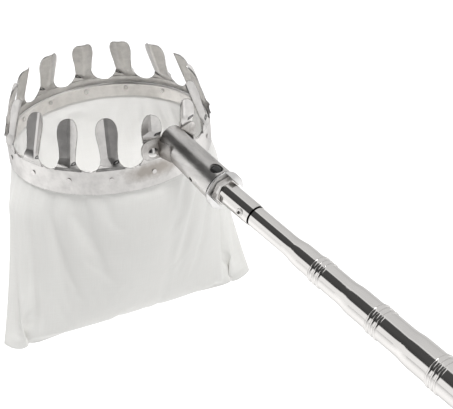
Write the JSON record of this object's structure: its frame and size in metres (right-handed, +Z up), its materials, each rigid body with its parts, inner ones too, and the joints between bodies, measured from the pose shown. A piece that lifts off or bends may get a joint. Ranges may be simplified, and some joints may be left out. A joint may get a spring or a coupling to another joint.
{
  "type": "fruit picker basket",
  "caption": "Pronged aluminium picking head with a cotton catch bag, riveted to a socket on a telescoping stainless steel pole.",
  "frame": {"origin": "centre of the picking crown at the feet of its prongs, in the plane of the mouth", "axes": "+Z up the crown's axis, out of the mouth; +X towards the side where the pole is fixed; the pole slopes down 15.4 degrees from +X"},
  "size_m": [0.8931, 0.1874, 0.2786],
  "materials": {
    "crown": "satin",
    "hoop": "satin",
    "rivet": "bright",
    "cloth": "plain cotton weave",
    "socket": "brushed",
    "collar": "fine satin casting",
    "nut": "bright",
    "pole": "polished stainless steel",
    "button": "gloss black",
    "spring": "spring steel",
    "bush": "matt",
    "grip": "matt",
    "cap": "matt",
    "loop": "plain wire"
  },
  "bodies": {
    "handle": {"pole_section_4": "pole", "grip": "grip", "end_cap": "cap"},
    "section_3": {"pole_section_3": "pole", "guide_bush_3": "bush"},
    "section_2": {"pole_section_2": "pole", "guide_bush_2": "bush"},
    "head": {"pole_section_1": "pole", "guide_bush_1": "bush", "adapter_tube": "pole", "adapter_rivet": "rivet", "collar": "collar", "lock_nut": "nut", "socket": "socket", "ear_rivets": "rivet", "rivet_washers": "rivet", "crown": "crown", "inner_hoop": "hoop", "hoop_rivets": "rivet", "bag": "cloth", "button_spring": "spring"},
    "button": {"spring_button": "button"},
    "loop": {"hang_loop": "loop"}
  },
  "joints": [
    {"name": "section_3_slide", "type": "slide", "parent": "handle", "child": "section_3", "axis": [-0.9641, 0, 0.2656], "range_m": [0, 0.34]},
    {"name": "section_2_slide", "type": "slide", "parent": "section_3", "child": "section_2", "axis": [-0.9641, 0, 0.2656], "range_m": [0, 0.36]},
    {"name": "head_slide", "type": "slide", "parent": "section_2", "child": "head", "axis": [-0.9641, 0, 0.2656], "range_m": [0, 0.38]},
    {"name": "button_press", "type": "slide", "parent": "head", "child": "button", "axis": [-0.2656, 0, -0.9641], "range_m": [0, 0.0035], "stiffness_N_per_m": 700, "springref_m": -0.004, "deforming": ["button_spring"]},
    {"name": "loop_swing", "type": "hinge", "parent": "handle", "child": "loop", "pos_m": [0.80699, 0, -0.19452], "axis": [0, -1, 0], "range_deg": [-75, 225]}
  ]
}
